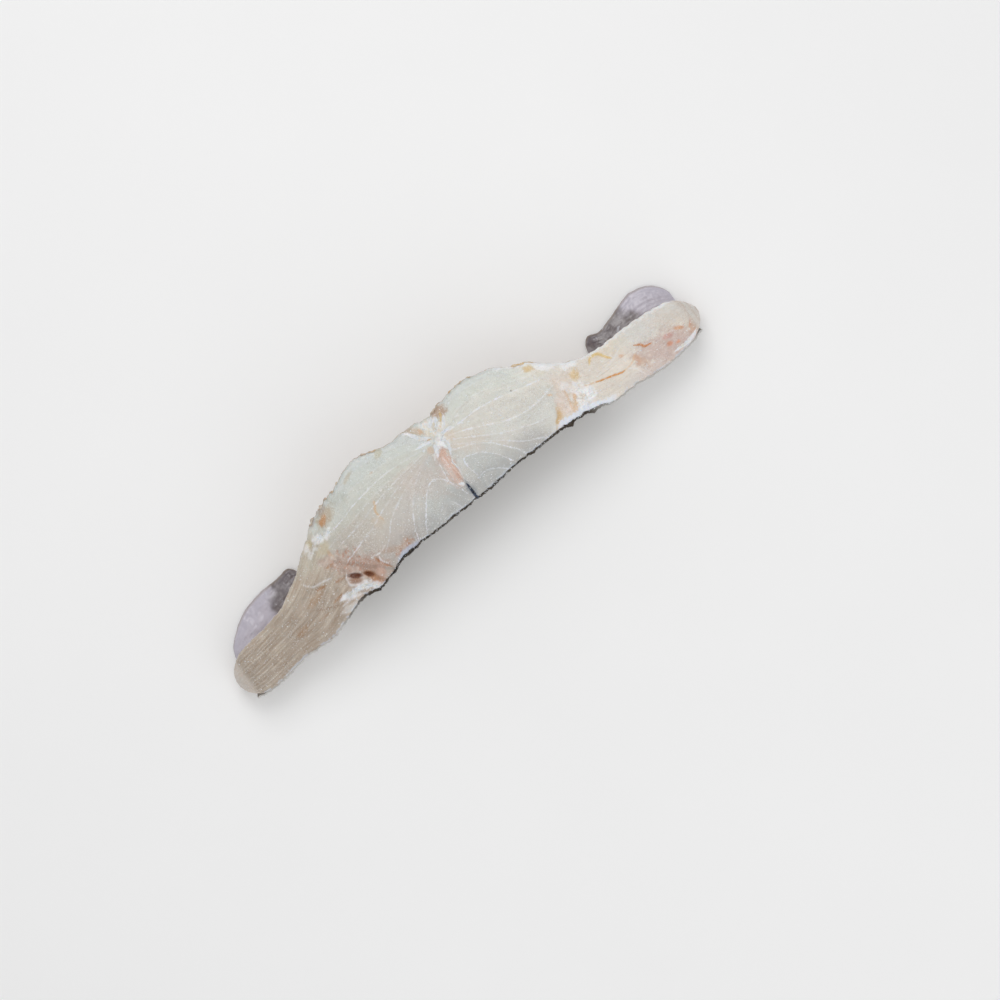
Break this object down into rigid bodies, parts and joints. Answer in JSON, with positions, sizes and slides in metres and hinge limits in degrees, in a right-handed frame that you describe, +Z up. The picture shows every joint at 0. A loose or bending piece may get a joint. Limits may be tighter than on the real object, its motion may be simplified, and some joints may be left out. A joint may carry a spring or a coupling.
{
  "type": "fresh cod neck",
  "caption": "Raw cod nape cut across the fish and opened flat: pale loins meeting at the backbone, dark back skin, belly arms with folded fins.",
  "frame": {"origin": "on the flat resting face (the head-side cut), between the two loins", "axes": "+X along the piece from the left belly arm to the right one, +Y towards the body cavity, +Z up, out of the tail-side cut face"},
  "size_m": [0.388, 0.0868, 0.0628],
  "materials": {
    "flesh": "moist translucent raw fish flesh",
    "skin": "wet dark fish skin",
    "bone": "cut fish bone",
    "fin": "wet grey fin skin"
  },
  "bodies": {
    "root": {"flesh": "flesh", "skin": "skin", "backbone": "bone", "fin_right": "fin", "fin_left": "fin"}
  },
  "joints": []
}
